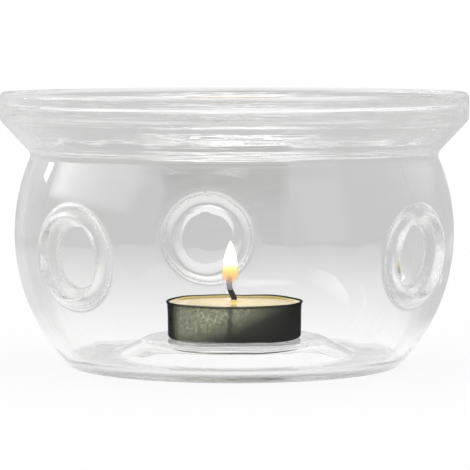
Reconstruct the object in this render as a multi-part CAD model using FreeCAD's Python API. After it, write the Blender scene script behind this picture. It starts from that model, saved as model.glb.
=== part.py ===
"""Glass teapot warmer with its tealight, in millimetres.

A blown glass bowl stands on a foot ring and carries a teapot on its flared collar. Three fire-polished vents
feed air to a tealight that stands on the pushed-up floor. The tealight is a drawn foil cup with a wax slug, a
melted pool, a braided wick and the wick's sustainer.

The frame: +Z up, the origin on the table at the bowl's axis, the front of the bowl towards -Y.
"""

import FreeCAD
import Part

import math
import os

# Bowl, radii outside the glass and heights above the table
BELLY_RADIUS = 60.9        # widest radius of the bowl
BELLY_HEIGHT = 37.0        # height of that widest ring
FOOT_INSET = 15.3          # from the widest radius in to the edge of the foot
NECK_RISE = 22.0           # from the widest ring up to the neck's crease
RIM_OVERHANG = 4.0         # from the widest radius out to the collar
FLARE_RISE = 9.5           # from the neck's crease up to the foot of the collar
COLLAR_HEIGHT = 7.5        # upright collar above the flare

# Glass thickness
WALL = 2.4
COLLAR_WALL = 2.6
RIM_BEAD = 3.3             # width and height of the thick fire-polished rim
FLOOR_THICKNESS = 3.0

# Base, pushed up in the middle
FOOT_RING_WIDTH = 12.5     # flat ring that the bowl stands on, before its edges are rounded
KICK_HEIGHT = 4.7          # underside of the floor above the table
KICK_RUN = 9.0             # width of the slope between the foot ring and the raised floor

# Rounding of the glass
FOOT_ROUND = 4.0
FOOT_INNER_ROUND = 2.5
KICK_ROUND = 4.0
FLOOR_ROUND = 4.0
TROUGH_ROUND = 5.0
NECK_ROUND = 2.5
NECK_INNER_ROUND = 5.0
FLARE_ROUND = 2.0
SEAT_ROUND = 4.0
RIM_ROUND = 1.4
RIM_BEAD_ROUND = 0.6

# Vents, each a hole with a thick fire-polished lip
FRONT_VENT_ANGLES = (-46.0, 55.0)   # degrees from the front, towards +X
BACK_VENT_ANGLE = 188.0
FRONT_VENT_DROP = 4.2      # centre of a front vent below the widest ring
BACK_VENT_DROP = 6.0       # centre of the back vent below the widest ring
VENT_THROAT_RADIUS = 7.7   # opening that the bead leaves, before the funnel
VENT_LIP_SWELL = 1.7       # how much thicker the lip is than the wall, on each side
VENT_ROUND = 3.0           # hollow between the lip and the wall
VENT_FUNNEL_CUT = 0.2      # funnel of a front vent, at the back of its lip, wider than the bead leaves it
VENT_FUNNEL_FLARE = 2.75   # funnel at the front of the lip, wider than at the back
VENT_EDGE_ROUND = 0.4      # edges of the funnel

# Tealight cup
CUP_RADIUS = 18.75         # outside of the foil at the top
CUP_DRAFT = 0.35           # how much narrower the cup is at its floor
CUP_HEIGHT = 10.2
FOIL = 0.25
CURL_WIDTH = 0.3           # curled edge outside the foil
CURL_HEIGHT = 0.6
CURL_ROUND_SHARE = 0.45    # of the smaller of these, so that the curl is almost a half round
CUP_CORNER_ROUND = 0.9
PANEL_RADIUS = 13.0        # stiffening panel, raised in the floor of the cup
PANEL_RISE = 0.5
PANEL_RUN = 0.8            # width of the slope round the panel

# Wax, wick and sustainer
WAX_CLEARANCE = 0.15       # between the wax and the foil, so that the slug slides out
WAX_LEVEL_DROP = 0.5       # surface of the wax below the cup's edge
POOL_DEPTH = 1.3           # melted layer
WICK_RADIUS = 0.85
WICK_RISE = 7.7            # height of the wick's tip above the wax
WICK_STRAIGHT = 0.6        # upright stretch above the wax, before the lean
WICK_LEAN = 18.0           # degrees, towards -X
WICK_LEAN_RISE = 4.0       # height over which the wick leans
WICK_BEND_RADIUS = 3.5
SUSTAINER_RADIUS = 6.0
SUSTAINER_PLATE = 0.3
SUSTAINER_NECK_HEIGHT = 3.0
SUSTAINER_NECK_WALL = 0.35

# Worked out from the sizes above
FOOT_RADIUS = BELLY_RADIUS - FOOT_INSET
RIM_RADIUS = BELLY_RADIUS + RIM_OVERHANG
NECK_HEIGHT = BELLY_HEIGHT + NECK_RISE
COLLAR_FOOT = NECK_HEIGHT + FLARE_RISE
HEIGHT = COLLAR_FOOT + COLLAR_HEIGHT
FLOOR_TOP = KICK_HEIGHT + FLOOR_THICKNESS
BELLY_ARC = (FOOT_INSET**2 + BELLY_HEIGHT**2) / (2 * FOOT_INSET)
NECK_RADIUS = BELLY_RADIUS - BELLY_ARC + math.sqrt(BELLY_ARC**2 - NECK_RISE**2)
CUP_TOP = FLOOR_TOP + CUP_HEIGHT
WAX_TOP = CUP_TOP - WAX_LEVEL_DROP
POOL_FLOOR = WAX_TOP - POOL_DEPTH
PANEL_TOP = FLOOR_TOP + PANEL_RISE + FOIL
SAME_PLACE = 1e-4

UP = FreeCAD.Vector(0, 0, 1)
OUTWARD = FreeCAD.Vector(1, 0, 0)


def at(radius, height):
    """A point of a turned outline, in the XZ plane."""
    return FreeCAD.Vector(radius, 0, height)


def shifted_line(start, end, distance):
    """A point and the direction of the line start to end, moved by distance to its left, as (radius, height)."""
    along = (end - start).normalize()
    left = at(-along.z, along.x)
    return start + left * distance, along


def line_meets_circle(start, along, centre, radius):
    """The outermost of the points where a line crosses a circle, all in the XZ plane."""
    offset = start - centre
    half = offset.dot(along)
    root = math.sqrt(half**2 - offset.dot(offset) + radius**2)
    ends = [start + along * (sign * root - half) for sign in (-1, 1)]
    return max(ends, key=lambda end: end.x)


def line_at(start, along, radius=None, height=None):
    """The point of a line at the given radius or height."""
    steps = (radius - start.x) / along.x if height is None else (height - start.z) / along.z
    return start + along * steps


def straight(start, end):
    return Part.LineSegment(start, end).toShape()


def arc(start, end, centre):
    """The shorter arc about centre."""
    radius = (start - centre).Length
    middle = centre + ((start - centre) + (end - centre)).normalize() * radius
    return Part.Arc(start, middle, end).toShape()


def turned(edges):
    """The solid that a closed outline in the XZ plane sweeps round the Z axis."""
    face = Part.Face(Part.Wire(edges))
    return face.revolve(at(0, 0), UP, 360)


def outline(corners):
    """Straight edges through the corners and back to the first."""
    return [straight(a, b) for a, b in zip(corners, corners[1:] + corners[:1])]


def rounded(solid, roundings):
    """Rounds the circular edges that run through the given corners of the outline."""
    for corner, radius in roundings:
        edges = [
            edge for edge in solid.Edges
            if isinstance(edge.Curve, Part.Circle)
            and abs(edge.Curve.Radius - corner.x) < SAME_PLACE
            and abs(edge.Curve.Center.z - corner.z) < SAME_PLACE
        ]
        solid = solid.makeFillet(radius, edges)
    return solid


def bowl():
    """The turned bowl, before its vents: belly, neck, flare, collar and pushed-up floor."""
    belly_centre = at(BELLY_RADIUS - BELLY_ARC, BELLY_HEIGHT)
    under_middle = at(0, KICK_HEIGHT)
    under_edge = at(FOOT_RADIUS - FOOT_RING_WIDTH - KICK_RUN, KICK_HEIGHT)
    foot_inner = at(FOOT_RADIUS - FOOT_RING_WIDTH, 0)
    foot_outer = at(FOOT_RADIUS, 0)
    crease = at(NECK_RADIUS, NECK_HEIGHT)
    collar_foot = at(RIM_RADIUS, COLLAR_FOOT)
    rim_outer = at(RIM_RADIUS, HEIGHT)
    rim_inner = at(RIM_RADIUS - RIM_BEAD, HEIGHT)
    bead_foot = at(RIM_RADIUS - RIM_BEAD, HEIGHT - RIM_BEAD)
    collar_inner = at(RIM_RADIUS - COLLAR_WALL, HEIGHT - RIM_BEAD - RIM_BEAD_ROUND)

    flare_point, flare_along = shifted_line(crease, collar_foot, WALL)
    seat = line_at(flare_point, flare_along, radius=RIM_RADIUS - COLLAR_WALL)
    throat = line_meets_circle(flare_point, flare_along, belly_centre, BELLY_ARC - WALL)
    slope_point, slope_along = shifted_line(foot_inner, under_edge, -FLOOR_THICKNESS)
    trough_inner = line_at(slope_point, slope_along, height=FLOOR_THICKNESS)
    trough_outer = line_meets_circle(trough_inner, OUTWARD, belly_centre, BELLY_ARC - WALL)
    floor_edge = line_at(slope_point, slope_along, height=FLOOR_TOP)
    floor_middle = at(0, FLOOR_TOP)

    solid = turned([
        straight(under_middle, under_edge),
        straight(under_edge, foot_inner),
        straight(foot_inner, foot_outer),
        arc(foot_outer, crease, belly_centre),
        straight(crease, collar_foot),
        straight(collar_foot, rim_outer),
        straight(rim_outer, rim_inner),
        straight(rim_inner, bead_foot),
        straight(bead_foot, collar_inner),
        straight(collar_inner, seat),
        straight(seat, throat),
        arc(throat, trough_outer, belly_centre),
        straight(trough_outer, trough_inner),
        straight(trough_inner, floor_edge),
        straight(floor_edge, floor_middle),
        straight(floor_middle, under_middle),
    ])
    return rounded(solid, [
        (under_edge, KICK_ROUND),
        (foot_inner, FOOT_INNER_ROUND),
        (foot_outer, FOOT_ROUND),
        (crease, NECK_ROUND),
        (collar_foot, FLARE_ROUND),
        (rim_outer, RIM_ROUND),
        (rim_inner, RIM_ROUND),
        (bead_foot, RIM_BEAD_ROUND),
        (seat, SEAT_ROUND),
        (throat, NECK_INNER_ROUND),
        (trough_outer, TROUGH_ROUND),
        (trough_inner, TROUGH_ROUND),
        (floor_edge, FLOOR_ROUND),
    ])


def vent_bead():
    """Radius of the lip's round section."""
    return WALL / 2 + VENT_LIP_SWELL


def vent_bead_ring():
    """Radius of the ring along which that section runs."""
    return VENT_THROAT_RADIUS + vent_bead()


def vent_tools(drop, angle):
    """The hole, the lip's bead and the funnel of a vent, square to the wall and turned to its place."""
    tilt = math.asin(drop / BELLY_ARC)
    facing = FreeCAD.Vector(0, -math.cos(tilt), -math.sin(tilt))
    ring = vent_bead_ring()
    hollow = ring**2 / (2 * BELLY_RADIUS)
    belly_centre = FreeCAD.Vector(0, BELLY_ARC - BELLY_RADIUS, BELLY_HEIGHT)
    centre = belly_centre + facing * (BELLY_ARC - WALL / 2 - hollow)
    hole = Part.makeCylinder(ring, 2 * ring, centre - facing * ring, facing)
    bead = Part.makeTorus(ring, vent_bead(), centre, facing)
    back_radius = VENT_THROAT_RADIUS + VENT_FUNNEL_CUT
    front_radius = back_radius + VENT_FUNNEL_FLARE
    back = centre - facing * vent_bead()
    funnel = Part.makeCone(back_radius, front_radius, 2 * vent_bead(), back, facing)
    return [tool.rotated(at(0, 0), UP, angle) for tool in (hole, bead, funnel)]


def is_lip(face):
    """True for the faces of a vent's bead."""
    surface = face.Surface
    return isinstance(surface, Part.Toroid) and abs(surface.MinorRadius - vent_bead()) < SAME_PLACE


def lip_joints(solid):
    """The edges where the beads meet the wall, outside and inside."""
    joints = []
    for edge in solid.Edges:
        sides = [is_lip(face) for face in solid.ancestorsOfType(edge, Part.Face)]
        if True in sides and False in sides:
            joints.append(edge)
    return joints


def funnel_edges(solid):
    """The edges where the funnels leave the beads, in front and at the back."""
    edges = []
    for edge in solid.Edges:
        surfaces = [type(face.Surface) for face in solid.ancestorsOfType(edge, Part.Face)]
        if Part.Cone in surfaces and Part.Toroid in surfaces:
            edges.append(edge)
    return edges


def glass_body():
    """The bowl with its three vents: a funnel through each of the front ones, a plain round lip at the back."""
    front = [vent_tools(FRONT_VENT_DROP, angle) for angle in FRONT_VENT_ANGLES]
    back = vent_tools(BACK_VENT_DROP, BACK_VENT_ANGLE)
    solid = bowl()
    for hole, bead, funnel in front + [back]:
        solid = solid.cut(hole).fuse(bead)
    solid = solid.Solids[0]
    solid = solid.makeFillet(VENT_ROUND, lip_joints(solid))
    for hole, bead, funnel in front:
        solid = solid.cut(funnel)
    solid = solid.Solids[0]
    return solid.makeFillet(VENT_EDGE_ROUND, funnel_edges(solid))


def tealight_cup():
    """Drawn foil cup with a curled edge and a raised panel in its floor."""
    foil_floor = CUP_RADIUS - CUP_DRAFT
    curl_under = CUP_TOP - CURL_HEIGHT
    panel_under = at(PANEL_RADIUS, FLOOR_TOP + PANEL_RISE)
    panel_foot = at(PANEL_RADIUS + PANEL_RUN, FLOOR_TOP)
    corner = at(foil_floor, FLOOR_TOP)
    curl_root = at(CUP_RADIUS, curl_under)
    curl_lower = at(CUP_RADIUS + CURL_WIDTH, curl_under)
    curl_upper = at(CUP_RADIUS + CURL_WIDTH, CUP_TOP)
    mouth = at(CUP_RADIUS - FOIL, CUP_TOP)
    corner_inner = at(foil_floor - FOIL, FLOOR_TOP + FOIL)
    panel_foot_inner = at(PANEL_RADIUS + PANEL_RUN, FLOOR_TOP + FOIL)
    panel_top = at(PANEL_RADIUS, PANEL_TOP)
    solid = turned(outline([
        at(0, FLOOR_TOP + PANEL_RISE), panel_under, panel_foot, corner, curl_root, curl_lower, curl_upper, mouth,
        corner_inner, panel_foot_inner, panel_top, at(0, PANEL_TOP),
    ]))
    curl_round = min(CURL_WIDTH, CURL_HEIGHT) * CURL_ROUND_SHARE
    return rounded(solid, [
        (corner, CUP_CORNER_ROUND),
        (corner_inner, CUP_CORNER_ROUND - FOIL),
        (curl_lower, curl_round),
        (curl_upper, curl_round),
    ])


def wick_sustainer():
    """Pressed plate on the cup's floor, with the neck that is crimped round the wick."""
    neck_radius = WICK_RADIUS + SUSTAINER_NECK_WALL
    plate = Part.makeCylinder(SUSTAINER_RADIUS, SUSTAINER_PLATE, at(0, PANEL_TOP))
    neck = Part.makeCylinder(neck_radius, SUSTAINER_NECK_HEIGHT, at(0, PANEL_TOP))
    bore = Part.makeCylinder(WICK_RADIUS, SUSTAINER_NECK_HEIGHT, at(0, PANEL_TOP))
    return plate.fuse(neck).cut(bore).removeSplitter()


def wick():
    """Braided wick: upright through the wax, then a lean to -X and upright again to its tip."""
    shift = WICK_LEAN_RISE * math.tan(math.radians(WICK_LEAN))
    lean_foot = WAX_TOP + WICK_STRAIGHT
    lean_top = lean_foot + WICK_LEAN_RISE
    corners = [at(0, PANEL_TOP), at(0, lean_foot), at(-shift, lean_top), at(-shift, WAX_TOP + WICK_RISE)]
    cut_back = WICK_BEND_RADIUS * math.tan(math.radians(WICK_LEAN) / 2)
    edges = []
    start = corners[0]
    for before, corner, after in zip(corners, corners[1:], corners[2:]):
        bend_start = corner + (before - corner).normalize() * cut_back
        bend_end = corner + (after - corner).normalize() * cut_back
        inward = (bend_start - corner) + (bend_end - corner)
        centre = corner + inward.normalize() * (WICK_BEND_RADIUS / math.cos(math.radians(WICK_LEAN) / 2))
        edges += [straight(start, bend_start), arc(bend_start, bend_end, centre)]
        start = bend_end
    edges.append(straight(start, corners[-1]))
    section = Part.Wire(Part.makeCircle(WICK_RADIUS, corners[0], UP))
    return Part.Wire(edges).makePipeShell([section], True, False)


def wax_radius(height):
    """Radius of the wax at a height, clear of the drafted foil."""
    draft = CUP_DRAFT * (CUP_TOP - CURL_HEIGHT - height) / (CUP_HEIGHT - CURL_HEIGHT)
    return CUP_RADIUS - FOIL - WAX_CLEARANCE - draft


def wax_slug(fillings):
    """Pressed wax on the cup's floor, with room for the panel, the sustainer and the wick."""
    floor = FLOOR_TOP + FOIL
    panel_room = PANEL_RADIUS + PANEL_RUN + WAX_CLEARANCE
    corner = at(wax_radius(floor), floor)
    solid = turned(outline([
        at(0, PANEL_TOP), at(panel_room, PANEL_TOP), at(panel_room, floor), corner,
        at(wax_radius(POOL_FLOOR), POOL_FLOOR), at(0, POOL_FLOOR),
    ]))
    solid = rounded(solid, [(corner, CUP_CORNER_ROUND)])
    return solid.cut(Part.makeCompound(fillings))


def wax_pool(wick_solid):
    """Melted layer round the wick, on top of the slug."""
    solid = turned(outline([
        at(0, POOL_FLOOR), at(wax_radius(POOL_FLOOR), POOL_FLOOR), at(wax_radius(WAX_TOP), WAX_TOP), at(0, WAX_TOP),
    ]))
    return solid.cut(wick_solid)


def main():
    os.makedirs("parts", exist_ok=True)
    wick_solid = wick()
    sustainer = wick_sustainer()
    nodes = {
        "glass_body": glass_body(),
        "tealight_cup": tealight_cup(),
        "wax_slug": wax_slug([wick_solid, sustainer]),
        "wax_pool": wax_pool(wick_solid),
        "wick": wick_solid,
        "wick_sustainer": sustainer,
    }
    for name, shape in nodes.items():
        box = shape.BoundBox
        print(f"{name}: {len(shape.Solids)} solid, valid {shape.isValid()}, {shape.Volume:.2f} mm3,"
              f" {box.XLength:.2f} x {box.YLength:.2f} x {box.ZLength:.2f} mm, z {box.ZMin:.2f} to {box.ZMax:.2f}")
        shape.exportStep(f"parts/{name}.step")


main()
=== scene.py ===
"""Looks of a glass teapot warmer with a lit tealight, in metres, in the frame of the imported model."""

import math

import bpy
import numpy as np
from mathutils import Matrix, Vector


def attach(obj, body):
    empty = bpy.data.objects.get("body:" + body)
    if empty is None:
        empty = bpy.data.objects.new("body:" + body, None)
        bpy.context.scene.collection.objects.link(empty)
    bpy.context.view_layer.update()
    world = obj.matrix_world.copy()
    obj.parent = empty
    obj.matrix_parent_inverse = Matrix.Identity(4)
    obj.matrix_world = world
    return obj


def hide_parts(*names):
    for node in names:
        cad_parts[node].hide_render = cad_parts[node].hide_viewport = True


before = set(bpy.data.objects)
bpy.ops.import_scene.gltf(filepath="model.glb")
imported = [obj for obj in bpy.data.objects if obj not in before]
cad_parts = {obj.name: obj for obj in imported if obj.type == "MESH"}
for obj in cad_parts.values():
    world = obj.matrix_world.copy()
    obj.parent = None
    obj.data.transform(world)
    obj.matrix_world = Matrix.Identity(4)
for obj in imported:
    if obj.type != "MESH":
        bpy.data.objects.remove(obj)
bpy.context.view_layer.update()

MM = 0.001
TURN = 2 * math.pi
SAME_PLACE = 1e-6

# Bowl, in millimetres
BELLY_RADIUS = 60.9
BELLY_HEIGHT = 37.0
FOOT_INSET = 15.3
NECK_RISE = 22.0
RIM_OVERHANG = 4.0
FLARE_RISE = 9.5
COLLAR_HEIGHT = 7.5
WALL = 2.4
COLLAR_WALL = 2.6
RIM_BEAD = 3.3
BEAD_SLOPE = 0.8
FLOOR_THICKNESS = 3.0
FOOT_RING_WIDTH = 12.5
KICK_HEIGHT = 4.7
KICK_RUN = 9.0

# Roundings of the bowl
FOOT_ROUND = 4.0
FOOT_INNER_ROUND = 2.5
KICK_ROUND = 4.0
FLOOR_ROUND = 4.0
TROUGH_ROUND = 5.0
NECK_ROUND = 2.5
NECK_INNER_ROUND = 5.0
FLARE_ROUND = 2.0
SEAT_ROUND = 4.0
RIM_ROUND = 1.4
BEAD_EDGE_ROUND = 0.8
BEAD_FOOT_ROUND = 0.6

# Worked out from these
BELLY_ARC = (FOOT_INSET**2 + BELLY_HEIGHT**2) / (2 * FOOT_INSET)
ARC_OFFSET = BELLY_RADIUS - BELLY_ARC
BELLY_CENTRE = np.array([ARC_OFFSET, BELLY_HEIGHT])
MIDDLE_ARC = BELLY_ARC - WALL / 2
FOOT_RADIUS = BELLY_RADIUS - FOOT_INSET
NECK_RADIUS = ARC_OFFSET + math.sqrt(BELLY_ARC**2 - NECK_RISE**2)
NECK_HEIGHT = BELLY_HEIGHT + NECK_RISE
COLLAR_FOOT = NECK_HEIGHT + FLARE_RISE
HEIGHT = COLLAR_FOOT + COLLAR_HEIGHT
RIM_RADIUS = BELLY_RADIUS + RIM_OVERHANG
FLOOR_TOP = KICK_HEIGHT + FLOOR_THICKNESS

# Vents: degrees from the front towards +X, drop below the widest ring, funnel through the lip or none
VENTS = ((-46.0, 4.2, True), (55.0, 4.2, True), (188.0, 6.0, False))
VENT_THROAT = 7.7
VENT_BEAD = 2.9
VENT_ROUND = 3.0
FUNNEL_CUT = 0.2
FUNNEL_FLARE = 2.75
FUNNEL_EDGE = 0.4
FUNNEL_BACK = VENT_THROAT + FUNNEL_CUT
FUNNEL_FRONT = FUNNEL_BACK + FUNNEL_FLARE

# Band of the belly that the vents are let into, and the lead and the width over which a lip grows soft
VENT_BAND_DROP = 5.0
VENT_REACH = 18.2
FUNNEL_FADE = (0.0, 4.0)
PLAIN_FADE = (1.2, 1.6)

# Foil cup
CUP_RADIUS = 18.75
CUP_DRAFT = 0.35
CUP_HEIGHT = 10.2
CUP_LIFT = 0.06
FOIL = 0.25
CURL_WIDTH = 0.3
CURL_HEIGHT = 0.62
PANEL_RADIUS = 13.0
PANEL_RUN = 0.8
PANEL_RISE = 0.5
PANEL_ROUND = 0.4
PANEL_INNER_ROUND = 0.3
CUP_CORNER_ROUND = 0.9
CURL_FOOT_ROUND = 0.12
CURL_ROUND = 0.25
CUP_EDGE_ROUND = 0.22
CUP_TOP = FLOOR_TOP + CUP_HEIGHT
PANEL_TOP = FLOOR_TOP + PANEL_RISE + FOIL

# Upright crease in the foil
CREASE_ANGLE = math.radians(-2.5)
CREASE_DEPTH = 0.14
CREASE_WIDTH = 0.04
CREASE_BAND = 0.3
CREASE_FOOT = 0.6
CREASE_FADE = 1.5
CREASE_START = CUP_RADIUS - CUP_DRAFT - FOIL - CREASE_BAND / 2

# Wax, with the height and the reach of its climb at the foil and at the wick
WAX_LEVEL_DROP = 0.5
POOL_DEPTH = 1.3
WAX_GAP = 0.15
WAX_TOP = CUP_TOP - WAX_LEVEL_DROP
POOL_FLOOR = WAX_TOP - POOL_DEPTH
SLUG_BORE = 1.3
SLUG_FLOOR_ROOM = 0.35
SLUG_STEP_ROUND = 0.2
SLUG_CORNER_ROUND = 1.2
SLUG_TOP_ROUND = 0.1
POOL_SINK = 0.12
FOIL_CLIMB = (0.30, 0.7)
WICK_CLIMB = (0.75, 0.6)

# Wick and its sustainer
WICK_RADIUS = 0.85
WICK_RISE = 7.7
WICK_TIP = WAX_TOP + WICK_RISE
WICK_BEND_START = 0.3
WICK_BEND_RISE = 4.6
WICK_SHIFT = 1.3
WICK_END = 1.2
WICK_END_SHARE = 0.35
BRAID_LAY = 2.2
BRAID_TURNS = 1.5
BRAID_CORE = 0.86
BRAID_DEPTH = 0.10
POOL_BORE = WICK_RADIUS * 0.95
SUSTAINER_RADIUS = 6.0
SUSTAINER_PLATE = 0.3
SUSTAINER_NECK_HEIGHT = 3.0
SUSTAINER_NECK_WALL = 0.35
SUSTAINER_ROUND = 0.1
SUSTAINER_NECK_ROUND = 0.15

# Flame
FLAME_FOOT = WAX_TOP + 3.5
FLAME_TIP = WAX_TOP + 17.6
FLAME_FULLNESS = 2.15
FLAME_FOOT_POWER = 0.4
FLAME_TIP_POWER = 0.8
FLAME_SWAY = 0.25
FLAME_BEND = 2.4
VEIL_WIDTH = 2.25
CORE_WIDTH = 1.95
CORE_LIFT = 2.2
CORE_DROP = 0.4

# Spacing of points along outlines, and how many go round or along a piece
GLASS_STEP = 1.6
LIP_STEP = 0.35
CUP_STEP = 1.5
WAX_STEP = 1.2
SUSTAINER_STEP = 0.5
ROUND_STEPS = 6.0
GLASS_TURNS = 288
CUP_TURNS = 480
WAX_TURNS = 128
SUSTAINER_TURNS = 64
WICK_TURNS = 32
FLAME_TURNS = 48
VENT_ROWS = 29
VENT_RINGS = 7
POOL_ROWS = 60
WICK_ROWS = 150
FLAME_ROWS = 80


def unit(vector):
    """The vector divided by its length."""
    return vector / np.linalg.norm(vector)


def left_of(vector):
    """The flat vector turned a quarter turn to the left."""
    return np.array([-vector[1], vector[0]])


def crossing(point, along, centre, radius, painted_glow):
    """Where a line crosses a circle, the crossing nearest to the given point."""
    offset = point - centre
    half = offset @ along
    root = math.sqrt(max(half**2 - offset @ offset + radius**2, 0.0))
    ends = [point + along * (sign * root - half) for sign in (-1, 1)]
    return min(ends, key=lambda end: np.linalg.norm(end - painted_glow))


def direction(point, other, centre, sign):
    """Unit direction of travel at a corner, along a straight stretch or an arc about centre."""
    if centre is None:
        return unit(other - point) * sign
    around = left_of(point - centre)
    return unit(around) * math.copysign(1, around @ (other - point) * sign)


def touching_circle(corner, radius, before, before_centre, after, after_centre):
    """Centre and touching points of the circle that rounds a corner.

    The centre is where the stretches on both sides, moved inwards by the radius, cross.
    """
    arriving = direction(corner, before, before_centre, -1)
    leaving = direction(corner, after, after_centre, 1)
    turn = math.copysign(1, arriving[0] * leaving[1] - arriving[1] * leaving[0])
    lines, rings = [], []
    for along, centre in ((arriving, before_centre), (leaving, after_centre)):
        inward = left_of(along) * turn
        if centre is None:
            lines.append((corner + inward * radius, along))
        else:
            reach = np.linalg.norm(corner - centre)
            rings.append((centre, reach + math.copysign(radius, inward @ (corner - centre))))
    if rings:
        middle = crossing(*lines[0], *rings[0], corner)
    else:
        (first, first_along), (second, second_along) = lines
        steps = np.linalg.solve(np.array([first_along, -second_along]).T, second - first)
        middle = first + first_along * steps[0]
    touches = []
    for along, centre in ((arriving, before_centre), (leaving, after_centre)):
        if centre is None:
            touches.append(corner + along * ((middle - corner) @ along))
        else:
            touches.append(centre + unit(middle - centre) * np.linalg.norm(corner - centre))
    return middle, touches


def run_between(start, end, centre, step):
    """Evenly spaced points from start up to, not including, end: straight, or the short way about centre."""
    if centre is None:
        length = np.linalg.norm(end - start)
        share = np.linspace(0, 1, max(int(math.ceil(length / step)), 1), endpoint=False)[:, None]
        return start + (end - start) * share
    first = math.atan2(*(start - centre)[::-1])
    sweep = (math.atan2(*(end - centre)[::-1]) - first + math.pi) % TURN - math.pi
    radius = np.linalg.norm(start - centre)
    count = max(int(math.ceil(abs(sweep) * max(radius / step, ROUND_STEPS))), 1)
    angle = first + sweep * np.linspace(0, 1, count, endpoint=False)
    return centre + radius * np.stack([np.cos(angle), np.sin(angle)], 1)


def outline(corners, step):
    """Points along an outline of corners (radius, height, rounding, arc centre or None to the next corner).

    Stretches are straight or arcs, and a corner with a rounding gives way to its touching circle.
    """
    places = [np.array(corner[:2], float) for corner in corners]
    points, at, last = [], places[0], len(corners) - 1
    for i in range(1, last + 1):
        centre = corners[i - 1][3]
        if i < last and corners[i][2]:
            middle, (touch, leave) = touching_circle(
                places[i], corners[i][2], places[i - 1], centre, places[i + 1], corners[i][3])
            points += [run_between(at, touch, centre, step), run_between(touch, leave, middle, step)]
            at = leave
        else:
            points.append(run_between(at, places[i], centre, step))
            at = places[i]
    return np.concatenate(points + [at[None]])


def mesh_object(name, points, faces, material, masks=()):
    """A smooth-shaded object from points in millimetres, faces as lists of corners and values per point."""
    mesh = bpy.data.meshes.new(name)
    mesh.from_pydata((points * MM).tolist(), [], faces)
    mesh.polygons.foreach_set("use_smooth", np.ones(len(mesh.polygons), bool))
    mesh.update()
    for label, values in masks:
        mask = mesh.attributes.new(label, "FLOAT", "POINT")
        mask.data.foreach_set("value", np.asarray(values, np.float32))
    mesh.materials.append(material)
    piece = bpy.data.objects.new(name, mesh)
    bpy.context.collection.objects.link(piece)
    return piece


def quads_between(rows, count):
    """Face corners of a grid stored row by row, wrapped along each row."""
    row = np.arange(rows - 1)[:, None] * count
    here = np.arange(count)[None, :]
    there = (here + 1) % count
    return np.stack([row + here, row + there, row + count + there, row + count + here], -1).reshape(-1, 4)


def pole_faces(first, last, pole):
    """Triangles that close a first row with the point numbered pole, and a last row with the next point."""
    low = np.stack([np.full_like(first, pole), np.roll(first, -1), first], 1)
    high = np.stack([last, np.roll(last, -1), np.full_like(last, pole + 1)], 1)
    return low.tolist() + high.tolist()


def ring_points(radius, height, angle):
    """Points at radius and height, at an angle from the front towards +X: (r sin a, -r cos a, z)."""
    return np.stack([radius * np.sin(angle), -radius * np.cos(angle), height + 0 * angle], -1)


def turned(name, profile, count, material, shape=None):
    """Profile (radius, height) turned round the Z axis: point = (r sin a, -r cos a, z).

    A profile that starts and ends on the axis is closed with a point there. Others are joined end to start.
    """
    capped = profile[0, 0] < SAME_PLACE
    rows = profile[1:-1] if capped else profile
    angle = np.linspace(0, TURN, count, endpoint=False)[None, :]
    radius, height = np.broadcast_arrays(rows[:, :1], rows[:, 1:] + 0 * angle)
    if shape is not None:
        radius, height = shape(radius, height, angle)
    points = ring_points(radius, height, angle + 0 * radius).reshape(-1, 3)
    if not capped:
        quads = quads_between(len(rows) + 1, count) % len(points)
        return mesh_object(name, points, quads.tolist(), material)
    first = np.arange(count)
    last = len(points) - count + first
    faces = quads_between(len(rows), count).tolist() + pole_faces(first, last, len(points))
    ends = np.array([[0, 0, profile[0, 1]], [0, 0, profile[-1, 1]]])
    return mesh_object(name, np.concatenate([points, ends]), faces, material)


def tube(name, path, radius, count, material):
    """A round section carried along a path, closed with a point at each end.

    Point = path + r (side cos a + front sin a), with side and front square to the path.
    """
    along = np.gradient(path, axis=0)
    along /= np.linalg.norm(along, axis=1)[:, None]
    side = np.cross(along, [0, 1, 0])
    side /= np.linalg.norm(side, axis=1)[:, None]
    front = np.cross(along, side)
    angle = np.linspace(0, TURN, count, endpoint=False)[None, :, None]
    section = side[:, None] * np.cos(angle) + front[:, None] * np.sin(angle)
    points = (path[:, None] + radius[..., None] * section).reshape(-1, 3)
    first = np.arange(count)
    last = len(points) - count + first
    faces = quads_between(len(path), count).tolist() + pole_faces(first, last, len(points))
    return mesh_object(name, np.concatenate([points, path[:1], path[-1:]]), faces, material)


# Glass bowl


def belly_radius(rise):
    """Radius of the middle of the wall at a rise along the belly's arc."""
    return ARC_OFFSET + MIDDLE_ARC * np.cos(rise)


def belly_point(angle, rise, depth):
    """A point of the belly: angle from the front, rise along its arc, depth outside the wall's middle.

    Radius = offset + (arc + depth) cos rise, height = belly height + (arc + depth) sin rise.
    """
    radius = ARC_OFFSET + (MIDDLE_ARC + depth) * np.cos(rise)
    height = BELLY_HEIGHT + (MIDDLE_ARC + depth) * np.sin(rise)
    return ring_points(radius, height, angle)


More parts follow.
